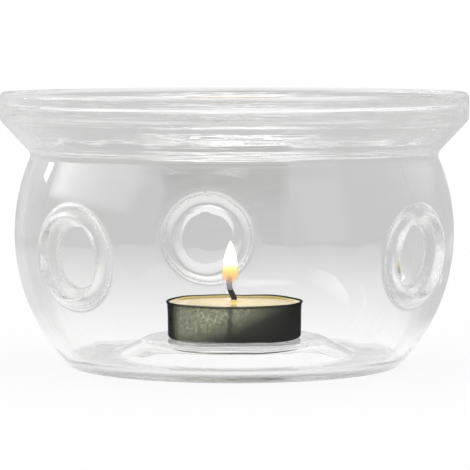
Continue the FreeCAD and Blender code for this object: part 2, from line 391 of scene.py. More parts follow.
def vent_section(funnelled):
    """Section of a vent's lip as (distance from the vent's axis, depth), and its points in the funnel.

    Wall, hollow, round bead that a straight funnel may go through, and the same back to the inner wall.
    """
    ring = VENT_THROAT + VENT_BEAD
    centre = np.array([ring, 0.0])
    edge = ring + math.sqrt(VENT_BEAD**2 - WALL**2 / 4)
    far = edge + VENT_ROUND
    back = np.array([FUNNEL_BACK, -VENT_BEAD])
    front = np.array([FUNNEL_FRONT, VENT_BEAD])
    along = unit(front - back)
    mouth = crossing(back, along, centre, VENT_BEAD, front)
    throat = crossing(back, along, centre, VENT_BEAD, back)
    inside = [(*mouth, FUNNEL_EDGE, None), (*throat, FUNNEL_EDGE, centre)]
    if not funnelled:
        inside = [(VENT_THROAT, 0, 0, centre)]
    section = outline([
        (far, WALL / 2, 0, None),
        (edge, WALL / 2, VENT_ROUND, centre),
        *inside,
        (edge, -WALL / 2, VENT_ROUND, None),
        (far, -WALL / 2, 0, None),
    ], LIP_STEP)
    funnel = funnelled & (np.abs((section - back) @ left_of(along)) < SAME_PLACE)
    return section, funnel


def glass_profile(low, high):
    """The bowl's outline, evenly spaced rises from low to high, and their rows outside and inside.

    From the axis: raised floor, slope, foot ring, belly (an arc about its centre), neck, straight flare,
    upright collar and thick rim, then the same forms one wall further in, and a flat trough round the
    floor's upper side. Rows are counted without the first point, which is on the axis.
    """
    belly = BELLY_CENTRE
    out, inn = WALL / 2, -WALL / 2
    crease = np.array([NECK_RADIUS, NECK_HEIGHT])
    collar_foot = np.array([RIM_RADIUS, COLLAR_FOOT])
    foot_inner = np.array([FOOT_RADIUS - FOOT_RING_WIDTH, 0.0])
    under_edge = foot_inner + [-KICK_RUN, KICK_HEIGHT]
    flare = unit(collar_foot - crease)
    flare_at = crease + left_of(flare) * WALL
    bead_radius = RIM_RADIUS - RIM_BEAD
    bead_foot = HEIGHT - RIM_BEAD
    seat_radius = RIM_RADIUS - COLLAR_WALL
    seat = flare_at + flare * (seat_radius - flare_at[0]) / flare[0]
    throat = crossing(flare_at, flare, belly, BELLY_ARC - WALL, crease)
    slope = unit(under_edge - foot_inner)
    slope_at = foot_inner - left_of(slope) * FLOOR_THICKNESS
    trough_drop = BELLY_HEIGHT - FLOOR_THICKNESS
    trough_radius = ARC_OFFSET + math.sqrt((BELLY_ARC - WALL)**2 - trough_drop**2)
    trough_inner = slope_at + slope * (FLOOR_THICKNESS - slope_at[1]) / slope[1]
    floor_edge = slope_at + slope * (FLOOR_TOP - slope_at[1]) / slope[1]

    def on_belly(rise, depth):
        """Centre + (arc + depth) (cos rise, sin rise)."""
        return belly + (MIDDLE_ARC + depth) * np.array([math.cos(rise), math.sin(rise)])

    first = outline([
        (0, KICK_HEIGHT, 0, None),
        (*under_edge, KICK_ROUND, None),
        (*foot_inner, FOOT_INNER_ROUND, None),
        (FOOT_RADIUS, 0, FOOT_ROUND, belly),
        (*on_belly(low, out), 0, None),
    ], GLASS_STEP)
    middle = outline([
        (*on_belly(high, out), 0, belly),
        (*crease, NECK_ROUND, None),
        (*collar_foot, FLARE_ROUND, None),
        (RIM_RADIUS, HEIGHT, RIM_ROUND, None),
        (bead_radius, HEIGHT, RIM_ROUND, None),
        (bead_radius, bead_foot, BEAD_EDGE_ROUND, None),
        (seat_radius, bead_foot - BEAD_SLOPE, BEAD_FOOT_ROUND, None),
        (*seat, SEAT_ROUND, None),
        (*throat, NECK_INNER_ROUND, belly),
        (*on_belly(high, inn), 0, None),
    ], GLASS_STEP)
    final = outline([
        (*on_belly(low, inn), 0, belly),
        (trough_radius, FLOOR_THICKNESS, TROUGH_ROUND, None),
        (*trough_inner, TROUGH_ROUND, None),
        (*floor_edge, FLOOR_ROUND, None),
        (0, FLOOR_TOP, 0, None),
    ], GLASS_STEP)
    rises = np.linspace(low, high, VENT_ROWS)
    ring = np.stack([np.cos(rises), np.sin(rises)], 1)
    outside = (belly + (MIDDLE_ARC + out) * ring)[1:-1]
    inside = (belly + (MIDDLE_ARC + inn) * ring)[1:-1][::-1]
    profile = np.concatenate([first, outside, middle, inside, final])
    outer_rows = len(first) - 2 + np.arange(VENT_ROWS)
    inner_rows = len(first) + len(outside) + len(middle) - 2 + np.arange(VENT_ROWS)[::-1]
    return profile, rises, outer_rows, inner_rows


def patch_edge(wide):
    """Corners of the grid round a vent's rectangle, as counts across and up from its low corner."""
    tall = VENT_ROWS - 1
    none_up, none_across = np.zeros(wide, int), np.zeros(tall, int)
    across = np.concatenate([np.arange(wide), np.full(tall, wide), np.arange(wide, 0, -1), none_across])
    up = np.concatenate([none_up, np.arange(tall), np.full(wide, tall), np.arange(tall, 0, -1)])
    return across, up


def vent_patch(centre, vent_rise, section, edge_angle, edge_rise):
    """Points of a vent, ring by ring from the outer wall over the lip to the inner wall.

    Flat on the wall, at a bearing b about the vent, rings from the rectangle's edge to a circle are
    p = s edge + (1 - s) r (cos b, sin b), and the lip is p = distance (cos b, sin b) along its section.
    On the belly, angle = centre + p across / radius there, and rise = the vent's rise + p up / arc.
    """
    edge_across = (edge_angle - centre) * belly_radius(edge_rise)
    edge_up = (edge_rise - vent_rise) * MIDDLE_ARC
    bearing = np.arctan2(edge_up, edge_across)
    ring = np.stack([np.cos(bearing), np.sin(bearing)], -1)
    share = np.linspace(1, 0, VENT_RINGS)[1:-1, None, None]
    wall = share * np.stack([edge_across, edge_up], -1) + (1 - share) * section[0, 0] * ring
    flat = np.concatenate([wall, section[:, :1, None] * ring, wall[::-1]])
    plain = np.full(len(wall), WALL / 2)
    depth = np.concatenate([plain, section[:, 1], -plain])[:, None]
    rise = vent_rise + flat[..., 1] / MIDDLE_ARC
    angle = centre + flat[..., 0] / belly_radius(rise)
    return belly_point(angle, rise, depth)


def vent_mask(values, count):
    """Values of a lip's section for all points of a vent, with 0 for the rings of plain wall."""
    plain = np.zeros(VENT_RINGS - 2)
    return np.repeat(np.concatenate([plain, values, plain]), count)


def glass_body(material):
    """Blown glass bowl: a closed outline turned round Z, with vents let into it.

    Round each vent a rectangle of the grid is left out on both faces. Rings pass from the rectangle's edge
    to a circle on the wall, and the lip's section is carried round that circle, from outer to inner face.
    """
    middle_rise = -math.asin(VENT_BAND_DROP / BELLY_ARC)
    half = VENT_REACH / MIDDLE_ARC
    profile, rises, outer_rows, inner_rows = glass_profile(middle_rise - half, middle_rise + half)
    body = profile[1:-1]
    rows, count = len(body), GLASS_TURNS
    angle = TURN * np.arange(count) / count
    points = [ring_points(body[:, :1], body[:, 1:], angle + 0 * body[:, :1]).reshape(-1, 3)]
    lips, bores = [np.zeros(rows * count)], [np.zeros(rows * count)]
    keep = np.ones((rows - 1, count), bool)
    total = rows * count
    faces = []
    for degrees, drop, funnelled in VENTS:
        section, funnel = vent_section(funnelled)
        centre = math.radians(degrees)
        reach = VENT_REACH / belly_radius(0)
        first = int(math.floor((centre - reach) * count / TURN))
        last = int(math.ceil((centre + reach) * count / TURN))
        columns = np.arange(first, last + 1)
        keep[np.ix_(np.arange(outer_rows[0], outer_rows[-1]), columns[:-1] % count)] = False
        keep[np.ix_(np.arange(inner_rows[-1], inner_rows[0]), columns[:-1] % count)] = False
        across, up = patch_edge(last - first)
        vent_rise = -math.asin(drop / BELLY_ARC)
        patch = vent_patch(centre, vent_rise, section, columns[across] * TURN / count, rises[up])
        points.append(patch.reshape(-1, 3))
        lead, width = FUNNEL_FADE if funnelled else PLAIN_FADE
        soft = np.clip((section[0, 0] + lead - section[:, 0]) / width, 0, 1)
        lips.append(vent_mask(soft, len(up)))
        bores.append(vent_mask(funnel, len(up)))
        own = total + np.arange(len(patch) * len(up)).reshape(-1, len(up))
        total += own.size
        edge = columns[across] % count
        table = np.concatenate([[outer_rows[up] * count + edge], own, [inner_rows[up] * count + edge]])
        onward = np.roll(table, -1, 1)
        faces.append(np.stack([table[:-1], onward[:-1], onward[1:], table[1:]], -1).reshape(-1, 4))
    faces = np.concatenate([quads_between(rows, count)[keep.reshape(-1)]] + faces)
    used, packed = np.unique(faces, return_inverse=True)
    points = np.concatenate(points)[used]
    masks = [(label, np.concatenate([np.concatenate(values)[used], [0, 0]]))
             for label, values in (("lip", lips), ("bore", bores))]
    here = np.arange(count)
    first_row = np.searchsorted(used, here)
    last_row = np.searchsorted(used, (rows - 1) * count + here)
    faces = packed.reshape(faces.shape).tolist() + pole_faces(first_row, last_row, len(points))
    ends = np.array([[0, 0, KICK_HEIGHT], [0, 0, FLOOR_TOP]])
    return mesh_object("glass_bowl", np.concatenate([points, ends]), faces, material, masks)


# Tealight


def cup_profile():
    """Foil cup: an outline of straight stretches with rounded corners.

    Under the raised panel, down its slope, up the drafted wall, round the curl, and back one foil in.
    """
    floor_radius = CUP_RADIUS - CUP_DRAFT
    under = FLOOR_TOP + CUP_LIFT
    curl_foot = CUP_TOP - CURL_HEIGHT
    return outline([
        (0, FLOOR_TOP + PANEL_RISE, 0, None),
        (PANEL_RADIUS, FLOOR_TOP + PANEL_RISE, PANEL_ROUND, None),
        (PANEL_RADIUS + PANEL_RUN, under, PANEL_ROUND, None),
        (floor_radius, under, CUP_CORNER_ROUND, None),
        (CUP_RADIUS, curl_foot, CURL_FOOT_ROUND, None),
        (CUP_RADIUS + CURL_WIDTH, curl_foot, CURL_ROUND, None),
        (CUP_RADIUS + CURL_WIDTH, CUP_TOP, CURL_ROUND, None),
        (CUP_RADIUS - FOIL, CUP_TOP, CUP_EDGE_ROUND, None),
        (floor_radius - FOIL, FLOOR_TOP + FOIL, CUP_CORNER_ROUND - FOIL, None),
        (PANEL_RADIUS + PANEL_RUN, FLOOR_TOP + FOIL, PANEL_INNER_ROUND, None),
        (PANEL_RADIUS, PANEL_TOP, PANEL_INNER_ROUND, None),
        (0, PANEL_TOP, 0, None),
    ], CUP_STEP)


def creased(radius, height, angle):
    """Foil wall with an upright crease: r - depth exp(-|a - crease| / width), faded in above the corner."""
    around = np.abs((angle - CREASE_ANGLE + math.pi) % TURN - math.pi)
    wall = np.clip((radius - CREASE_START) / CREASE_BAND, 0, 1)
    wall = wall * np.clip((height - FLOOR_TOP - CREASE_FOOT) / CREASE_FADE, 0, 1)
    return radius - CREASE_DEPTH * wall * np.exp(-around / CREASE_WIDTH), height


def wax_side(height):
    """Radius of the wax: the foil's inner radius there, which falls evenly with depth, less the gap."""
    return CUP_RADIUS - FOIL - WAX_GAP - CUP_DRAFT * (CUP_TOP - height) / CUP_HEIGHT


def slug_profile():
    """Solid wax: straight stretches with rounded corners, from its bore over the panel and up the wall."""
    floor = FLOOR_TOP + FOIL
    over_panel = PANEL_TOP + SLUG_FLOOR_ROOM
    room = PANEL_RADIUS + PANEL_RUN + WAX_GAP
    return outline([
        (SLUG_BORE, over_panel, 0, None),
        (room, over_panel, SLUG_STEP_ROUND, None),
        (room, floor, SLUG_STEP_ROUND, None),
        (wax_side(floor), floor, SLUG_CORNER_ROUND, None),
        (wax_side(POOL_FLOOR), POOL_FLOOR, SLUG_TOP_ROUND, None),
        (SLUG_BORE, POOL_FLOOR, 0, None),
    ], WAX_STEP)


def pool_profile():
    """Melted wax: level but for climb exp(-distance / reach), once from the foil and once from the wick."""
    side = wax_side(WAX_TOP)
    radius = np.linspace(side, POOL_BORE, POOL_ROWS)
    level = WAX_TOP - POOL_SINK + FOIL_CLIMB[0] * np.exp(-(side - radius) / FOIL_CLIMB[1])
    level = level + WICK_CLIMB[0] * np.exp(-(radius - WICK_RADIUS) / WICK_CLIMB[1])
    return np.concatenate([[[POOL_BORE, POOL_FLOOR], [side, POOL_FLOOR]], np.stack([radius, level], 1)])


def wick_path():
    """Upright through the wax, then shifted towards -X by t^2 (3 - 2 t), which starts and ends upright."""
    height = np.linspace(PANEL_TOP, WICK_TIP, WICK_ROWS)
    rise = np.clip((height - WAX_TOP - WICK_BEND_START) / WICK_BEND_RISE, 0, 1)
    shift = -WICK_SHIFT * rise**2 * (3 - 2 * rise)
    return np.stack([shift, 0 * height, height], 1)


def wick(material):
    """Braided wick: a tube whose radius ripples by |sin| along two crossing spirals.

    Towards the tip it narrows with the square root of what is left.
    """
    path = wick_path()
    angle = np.linspace(0, TURN, WICK_TURNS, endpoint=False)[None, :]
    height = path[:, 2:]
    lay = TURN * height / BRAID_LAY
    braid = np.abs(np.sin(BRAID_TURNS * angle + lay)) + np.abs(np.sin(BRAID_TURNS * angle - lay))
    end = np.sqrt(np.clip((WICK_TIP - height) / WICK_END, 0.0, 1))
    narrow = WICK_END_SHARE + (1 - WICK_END_SHARE) * end
    radius = WICK_RADIUS * (BRAID_CORE + BRAID_DEPTH * braid) * narrow
    return tube("wick_braid", path, radius, WICK_TURNS, material)


def sustainer_profile():
    """Wick sustainer: straight stretches with rounded corners, a flat plate with an upright neck."""
    plate = PANEL_TOP + SUSTAINER_PLATE
    neck = WICK_RADIUS + SUSTAINER_NECK_WALL
    top = PANEL_TOP + SUSTAINER_NECK_HEIGHT
    return outline([
        (WICK_RADIUS, PANEL_TOP, 0, None),
        (SUSTAINER_RADIUS, PANEL_TOP, SUSTAINER_ROUND, None),
        (SUSTAINER_RADIUS, plate, SUSTAINER_ROUND, None),
        (neck, plate, SUSTAINER_NECK_ROUND, None),
        (neck, top, SUSTAINER_ROUND, None),
        (WICK_RADIUS, top, 0, None),
    ], SUSTAINER_STEP)


def flame(name, width, foot, tip, material):
    """A candle flame: r = width * fullness * t^foot power * (1 - t)^tip power, on a swaying axis."""
    share = 0.5 - 0.5 * np.cos(np.linspace(0, math.pi, FLAME_ROWS))
    form = FLAME_FULLNESS * share**FLAME_FOOT_POWER * (1 - share)**FLAME_TIP_POWER
    height = foot + (tip - foot) * share
    sway = FLAME_SWAY * np.sin(share * FLAME_BEND) - WICK_SHIFT
    path = np.stack([sway, 0 * height, height], 1)
    radius = np.repeat((width * form)[:, None], FLAME_TURNS, 1)
    return tube(name, path[1:-1], radius[1:-1], FLAME_TURNS, material)


# Materials: what they share


def new_material(name):
    """A material, its nodes and its links."""
    material = bpy.data.materials.new(name)
    material.use_nodes = True
    return material, material.node_tree.nodes, material.node_tree.links


def set_values(node, values):
    """Sets plain values on a node's own sockets."""
    for socket, value in values.items():
        node.inputs[socket].default_value = value


def greys(*stops):
    """Stops of a plain grey ramp, from pairs of place and level."""
    return [(place, (level,) * 3) for place, level in stops]


def axis_share(nodes, links, axis, low, high):
    """Place in the object along an axis between two places in millimetres, from 0 to 1."""
    place = nodes.new("ShaderNodeTexCoord")
    split = nodes.new("ShaderNodeSeparateXYZ")
    links.new(place.outputs["Object"], split.inputs["Vector"])
    share = nodes.new("ShaderNodeMapRange")
    set_values(share, {"From Min": low * MM, "From Max": high * MM})
    links.new(split.outputs[axis], share.inputs["Value"])
    return share.outputs["Result"]


def axis_distance(nodes, links):
    """Distance from the object's Z axis, in metres."""
    place = nodes.new("ShaderNodeTexCoord")
    flat = nodes.new("ShaderNodeVectorMath")
    flat.operation = "MULTIPLY"
    flat.inputs[1].default_value = (1, 1, 0)
    links.new(place.outputs["Object"], flat.inputs[0])
    reach = nodes.new("ShaderNodeVectorMath")
    reach.operation = "LENGTH"
    links.new(flat.outputs["Vector"], reach.inputs[0])
    return reach.outputs["Value"]


WHITE = (1, 1, 1, 1)
BLACK = (0, 0, 0, 1)
NOISE_RANGE = (0.3, 0.7)


def speckle_group():
    """Node group: noise on stretched object coordinates, as a value from 0 to 1 and a colour between two."""
    group = bpy.data.node_groups.new("speckle", "ShaderNodeTree")
    for label, kind in (("Scale", "Float"), ("Detail", "Float"), ("Stretch", "Vector"),
                        ("Low", "Color"), ("High", "Color")):
        group.interface.new_socket(name=label, in_out="INPUT", socket_type="NodeSocket" + kind)
    for label, kind in (("Colour", "Color"), ("Value", "Float")):
        group.interface.new_socket(name=label, in_out="OUTPUT", socket_type="NodeSocket" + kind)
    nodes, links = group.nodes, group.links
    given = nodes.new("NodeGroupInput")
    result = nodes.new("NodeGroupOutput")
    place = nodes.new("ShaderNodeTexCoord")
    stretch = nodes.new("ShaderNodeVectorMath")
    stretch.operation = "MULTIPLY"
    links.new(place.outputs["Object"], stretch.inputs[0])
    links.new(given.outputs["Stretch"], stretch.inputs[1])
    texture = nodes.new("ShaderNodeTexNoise")
    links.new(stretch.outputs["Vector"], texture.inputs["Vector"])
    links.new(given.outputs["Scale"], texture.inputs["Scale"])
    links.new(given.outputs["Detail"], texture.inputs["Detail"])
    level = nodes.new("ShaderNodeMapRange")
    set_values(level, {"From Min": NOISE_RANGE[0], "From Max": NOISE_RANGE[1]})
    links.new(texture.outputs["Fac"], level.inputs["Value"])
    blend = nodes.new("ShaderNodeMix")
    blend.data_type = "RGBA"
    links.new(level.outputs["Result"], blend.inputs["Factor"])
    links.new(given.outputs["Low"], blend.inputs["A"])
    links.new(given.outputs["High"], blend.inputs["B"])
    links.new(blend.outputs["Result"], result.inputs["Colour"])
    links.new(level.outputs["Result"], result.inputs["Value"])
    return group


SPECKLE = speckle_group()


def speckle(nodes, scale, detail, low=(0, 0, 0), high=(1, 1, 1), stretch=(1, 1, 1)):
    """The speckle group placed in a material: its colour and its value."""
    node = nodes.new("ShaderNodeGroup")
    node.node_tree = SPECKLE
    set_values(node, {"Scale": scale, "Detail": detail, "Stretch": stretch})
    set_values(node, {"Low": (*low, 1), "High": (*high, 1)})
    return node.outputs["Colour"], node.outputs["Value"]


def between(nodes, links, source, low, high):
    """Node that brings a value from 0 to 1 between two levels."""
    node = nodes.new("ShaderNodeMapRange")
    set_values(node, {"To Min": low, "To Max": high})
    links.new(source, node.inputs["Value"])
    return node


def larger(nodes, links, first, second):
    """The larger of two values."""
    node = nodes.new("ShaderNodeMath")
    node.operation = "MAXIMUM"
    links.new(first, node.inputs[0])
    links.new(second, node.inputs[1])
    return node.outputs["Value"]


def ramp(nodes, links, source, stops):
    """Colour at a value from 0 to 1, between stops of place and colour."""
    node = nodes.new("ShaderNodeValToRGB")
    elements = node.color_ramp.elements
    while len(elements) < len(stops):
        elements.new(0.5)
    for element, (position, colour) in zip(elements, stops):
        element.position = position
        element.color = (*colour, 1.0)
    links.new(source, node.inputs["Fac"])
    return node.outputs["Color"]


def product(nodes, links, first, second, kind="MULTIPLY"):
    """Two colours multiplied, or joined by another kind of blend."""
    node = nodes.new("ShaderNodeMix")
    node.data_type = "RGBA"
    node.blend_type = kind
    node.inputs["Factor"].default_value = 1.0
    links.new(first, node.inputs["A"])
    links.new(second, node.inputs["B"])
    return node.outputs["Result"]


def bump(nodes, links, source, strength, distance, shader, below=None):
    """Bump of a shader's surface, over another bump if one is given."""
    node = nodes.new("ShaderNodeBump")
    set_values(node, {"Strength": strength, "Distance": distance})
    links.new(source, node.inputs["Height"])
    if below is not None:
        links.new(below.outputs["Normal"], node.inputs["Normal"])
    links.new(node.outputs["Normal"], shader.inputs["Normal"])
    return node


def painted_mask(nodes, label):
    """Node that reads a value stored at the points of a mesh."""
    node = nodes.new("ShaderNodeAttribute")
    node.attribute_name = label
    return node


def seen_rays(nodes, links, names):
    """1 for the rays of the named kinds."""
    rays = nodes.new("ShaderNodeLightPath")
    total = rays.outputs[names[0]]
    for name in names[1:]:
        total = larger(nodes, links, total, rays.outputs[name])
    return total


# Materials of the object: a speckle is scale, detail, low and high colour, and a bump is strength and metres

# Near-clear tint by height, with painted shade: clearest at the foot, greyer through the belly and lighter
# again at the rim
GLASS_TINT_AND_PAINTED_SHADE = [(0.0, (1.0, 1.0, 1.0)), (0.15, (0.995, 0.995, 0.995)), (0.3, (0.96, 0.962, 0.96)),
               (0.78, (0.95, 0.953, 0.95)), (1.0, (0.98, 0.982, 0.98))]
GLASS_CLOUD = (16, 2, (0.975, 0.977, 0.972), (1, 1, 1))
GLASS_IOR = 1.47
GLASS_EDGE = (0.28, 0.28, 0.28, 1)
LIP_ROUGHNESS = 0.20
BORE_ROUGHNESS = 0.22
FOOT_WEAR = greys((0.0, 0.6), (0.006, 0.45), (0.02, 0.0))
WAVES = (45, 1.5)
WAVES_BUMP = (0.4, 0.0004)
STREAKS = (25, 2.5)
STREAKS_FLAT = (1, 1, 40)
STREAKS_BUMP = (0.5, 0.0002)
STREAKED = greys((0.775, 0.0), (0.79, 1.7), (0.805, 1.7), (0.82, 0.05), (0.89, 0.05), (0.915, 1.0))
DENTS = (550, 2)
DENTS_BUMP = (0.3, 0.0003)


def glass_material():
    """Clear glass: greyer in the belly than at foot and rim as painted shade, faint cloud, slow waves, drawn
    streaks at neck and collar, soft lips, dented funnels.
    """
    material, nodes, links = new_material("clear_glass")
    shader = nodes["Principled BSDF"]
    height = axis_share(nodes, links, "Z", 0, HEIGHT)
    # Painted shade: the glass is greyer through the belly than at the foot and the rim
    tint_and_painted_shade = ramp(nodes, links, height, GLASS_TINT_AND_PAINTED_SHADE)
    cloud, _ = speckle(nodes, *GLASS_CLOUD)
    links.new(product(nodes, links, tint_and_painted_shade, cloud), shader.inputs["Base Color"])
    lip = painted_mask(nodes, "lip")
    bore = painted_mask(nodes, "bore")
    soft = between(nodes, links, lip.outputs["Fac"], 0.0, LIP_ROUGHNESS)
    rough = between(nodes, links, bore.outputs["Fac"], 0.0, BORE_ROUGHNESS)
    links.new(soft.outputs["Result"], rough.inputs["To Min"])
    worn = ramp(nodes, links, height, FOOT_WEAR)
    links.new(larger(nodes, links, rough.outputs["Result"], worn), shader.inputs["Roughness"])
    set_values(shader, {"IOR": GLASS_IOR, "Transmission Weight": 1.0, "Specular Tint": GLASS_EDGE})
    _, waves = speckle(nodes, *WAVES)
    streaks, _ = speckle(nodes, *STREAKS, stretch=STREAKS_FLAT)
    dents, _ = speckle(nodes, *DENTS)
    slow = bump(nodes, links, waves, *WAVES_BUMP, shader)
    drawn = product(nodes, links, streaks, ramp(nodes, links, height, STREAKED))
    streaked = bump(nodes, links, drawn, *STREAKS_BUMP, shader, slow)
    bump(nodes, links, product(nodes, links, dents, bore.outputs["Color"]), *DENTS_BUMP, shader, streaked)
    return material


# By height: white underneath is the bare foil's own colour, the dull olive up the wall is painted dark
# reflection, and the darker bands near the foot corner and under the curl are painted shade
FOIL_TONE_AND_PAINTED_SHADE = [(0.0, (1.0, 1.0, 1.0)), (0.02, (1.0, 1.0, 1.0)), (0.05, (0.16, 0.165, 0.12)),
              (0.35, (0.27, 0.28, 0.205)), (0.75, (0.32, 0.33, 0.25)), (0.92, (0.26, 0.265, 0.20)),
              (0.95, (0.05, 0.05, 0.04)), (1.0, (0.16, 0.16, 0.12))]
# Painted shade: the foil is painted darker towards +X and low down, along a leaning line
PAINTED_SIDE_SHADE = greys((0.0, 1.5), (0.18, 0.85), (0.40, 0.15), (0.7, 0.02))
PAINTED_SHADE_LEAN = 0.55
# Painted shade across X: darker at the cup's left end and in a narrow band at the crease
FOIL_PAINTED_SHADE_ACROSS = greys((0.0, 0.2), (0.05, 0.35), (0.11, 1.0), (0.44, 1.0), (0.47, 0.35), (0.50, 1.0))
FOIL_EDGE = (0.1, 0.1, 0.1, 1)
FOIL_GRAIN = (1600, 3, (0.36, 0.37, 0.33), (0.98, 0.99, 0.93))
FOIL_ROUGHNESS = (0.15, 0.24)
FOIL_BUMP = (0.10, 0.00004)


def foil_material():
    """Thin aluminium: bright underneath, dull olive up the wall as painted dark reflection, with painted
    shade near the foot corner, under the curl, at the left end and the crease, and towards +X and low down.
    """
    material, nodes, links = new_material("foil")
    shader = nodes["Principled BSDF"]
    set_values(shader, {"Metallic": 1.0, "Specular Tint": FOIL_EDGE})
    height = axis_share(nodes, links, "Z", FLOOR_TOP, CUP_TOP)
    across = axis_share(nodes, links, "X", -CUP_RADIUS, CUP_RADIUS)
    leaning = nodes.new("ShaderNodeMath")
    leaning.operation = "MULTIPLY_ADD"
    leaning.inputs[1].default_value = -PAINTED_SHADE_LEAN
    links.new(height, leaning.inputs[0])
    links.new(across, leaning.inputs[2])
    # Painted shade: darker towards +X and low down, times darker at the left end and in the crease
    painted_side_shade = ramp(nodes, links, leaning.outputs["Value"], PAINTED_SIDE_SHADE)
    painted_shade = product(nodes, links, painted_side_shade, ramp(nodes, links, across, FOIL_PAINTED_SHADE_ACROSS))
    tone = product(nodes, links, ramp(nodes, links, height, FOIL_TONE_AND_PAINTED_SHADE), painted_shade)
    grain, mottle = speckle(nodes, *FOIL_GRAIN)
    links.new(product(nodes, links, tone, grain), shader.inputs["Base Color"])
    dull = between(nodes, links, mottle, *FOIL_ROUGHNESS)
    links.new(dull.outputs["Result"], shader.inputs["Roughness"])
    bump(nodes, links, mottle, *FOIL_BUMP, shader)
    return material


WAX_CLOUD = (120, 2)
WAX_SHINE = 0.2
WAX_DEPTH = 0.3
WAX_DEPTH_RADIUS = (0.004, 0.003, 0.0015)
# Low and high colour, roughness, and painted glow of the flame's light at the wick and at the foil
SOLID_WAX = ((0.90, 0.80, 0.55), (0.95, 0.86, 0.62), 0.5, (0.1, 0.0))
MELTED_WAX = ((0.83, 0.60, 0.17), (0.93, 0.71, 0.32), 0.08, (0.34, 0.06))


def wax_material(name, low, high, rough, glow):
    """Paraffin between two colours, with painted glow of the flame's light in it: glow at the wick, and glow
    at the foil.
    """
    material, nodes, links = new_material(name)
    shader = nodes["Principled BSDF"]
    colour, _ = speckle(nodes, *WAX_CLOUD, low, high)
    links.new(colour, shader.inputs["Base Color"])
    set_values(shader, {"Roughness": rough, "Specular IOR Level": WAX_SHINE, "Emission Strength": 1.0})
    set_values(shader, {"Subsurface Weight": WAX_DEPTH, "Subsurface Radius": WAX_DEPTH_RADIUS})
    set_values(shader, {"Subsurface Scale": 1.0})
    # Painted glow: the wax's colour shines as light, most at the wick and fading towards the foil
    painted_glow = between(nodes, links, axis_distance(nodes, links), *glow)
    painted_glow.inputs["From Max"].default_value = CUP_RADIUS * MM
    links.new(product(nodes, links, colour, painted_glow.outputs["Result"]), shader.inputs["Emission Color"])
    return material


# Waxed white, charred black and ashen grey, and at the tip a painted orange glow
WICK_TONES_AND_TIP_GLOW = [(0.0, (1.0, 0.95, 0.85)), (0.45, (1.0, 0.95, 0.85)), (0.50, (0.03, 0.025, 0.02)),
              (0.78, (0.03, 0.027, 0.025)), (0.88, (0.22, 0.21, 0.22)), (1.0, (0.42, 0.24, 0.13))]
WICK_GRAIN = (900, 3, (0.6, 0.6, 0.6), (1, 1, 1))
WICK_ROUGHNESS = 0.9


def wick_material():
    """Cotton braid: waxed below, charred black above the wax, ashen to its tip, where an orange glow is
    painted.
    """
    material, nodes, links = new_material("wick_braid")
    shader = nodes["Principled BSDF"]
    tone = ramp(nodes, links, axis_share(nodes, links, "Z", PANEL_TOP, WICK_TIP), WICK_TONES_AND_TIP_GLOW)
    grain, _ = speckle(nodes, *WICK_GRAIN)
    links.new(product(nodes, links, tone, grain), shader.inputs["Base Color"])
    set_values(shader, {"Roughness": WICK_ROUGHNESS})
    return material


TIN_GRAIN = (300, 3, (0.5, 0.5, 0.5), (0.62, 0.62, 0.62))
TIN_ROUGHNESS = 0.3


def tin_material():
    """Tinplate of the wick's sustainer."""
    material, nodes, links = new_material("tinplate")
    shader = nodes["Principled BSDF"]
    set_values(shader, {"Metallic": 1.0, "Roughness": TIN_ROUGHNESS})
    grain, _ = speckle(nodes, *TIN_GRAIN)
    links.new(grain, shader.inputs["Base Color"])
    return material


CORE_COLOURS = [(0.22, (0.36, 0.20, 0.06)), (0.34, (0.42, 0.28, 0.06)), (0.44, (0.60, 0.48, 0.20)),
                (0.55, (1.0, 1.0, 0.93))]
CORE_COVER = greys((0.18, 0.0), (0.30, 0.70), (0.42, 1.0))
CORE_GLOW = 3.0
VEIL_COLOURS = [(0.0, (0.75, 0.78, 0.95)), (0.14, (0.90, 0.82, 0.86)), (0.24, (1.0, 0.60, 0.38)),
                (0.40, (1.0, 0.78, 0.28)), (0.60, (0.88, 0.80, 0.55)), (1.0, (0.80, 0.74, 0.58))]
VEIL_COVER = greys((0.0, 0.25), (0.14, 0.30), (0.27, 0.50))
VEIL_GLOW = 1.0


def flame_material(name, colours, cover, glow):
    """Light along the flame's height, from its foot to its tip, let fade by a second ramp."""
    material, nodes, links = new_material(name)
    shader = nodes["Principled BSDF"]
    share = axis_share(nodes, links, "Z", FLAME_FOOT, FLAME_TIP)
    links.new(ramp(nodes, links, share, colours), shader.inputs["Emission Color"])
    links.new(ramp(nodes, links, share, cover), shader.inputs["Alpha"])
    set_values(shader, {"Base Color": BLACK, "Roughness": 1.0, "Specular IOR Level": 0.0})
    set_values(shader, {"Emission Strength": glow})
    return material


def build_object():
    """The pieces of the warmer and its tealight, each on its body."""
    glass = glass_body(glass_material())
    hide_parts("glass_body")
    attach(glass, "warmer")
    cup = turned("foil_cup", cup_profile(), CUP_TURNS, foil_material(), creased)
    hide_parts("tealight_cup")
    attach(cup, "tealight")
    slug = turned("wax_block", slug_profile(), WAX_TURNS, wax_material("solid_wax", *SOLID_WAX))
    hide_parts("wax_slug")
    pool = turned("wax_melt", pool_profile(), WAX_TURNS, wax_material("melted_wax", *MELTED_WAX))
    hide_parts("wax_pool")
    braid = wick(wick_material())
    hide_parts("wick")
    tab = turned("wick_tab", sustainer_profile(), SUSTAINER_TURNS, tin_material())
    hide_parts("wick_sustainer")
    core = flame("flame_core", CORE_WIDTH, FLAME_FOOT + CORE_LIFT, FLAME_TIP - CORE_DROP,
                 flame_material("flame_core", CORE_COLOURS, CORE_COVER, CORE_GLOW))
    veil = flame("flame_veil", VEIL_WIDTH, FLAME_FOOT, FLAME_TIP,
                 flame_material("flame_veil", VEIL_COLOURS, VEIL_COVER, VEIL_GLOW))
    for piece in (slug, pool, braid, tab, core, veil):
        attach(piece, "wax")


# Stage: the floor's edges are in metres, and other lengths in millimetres

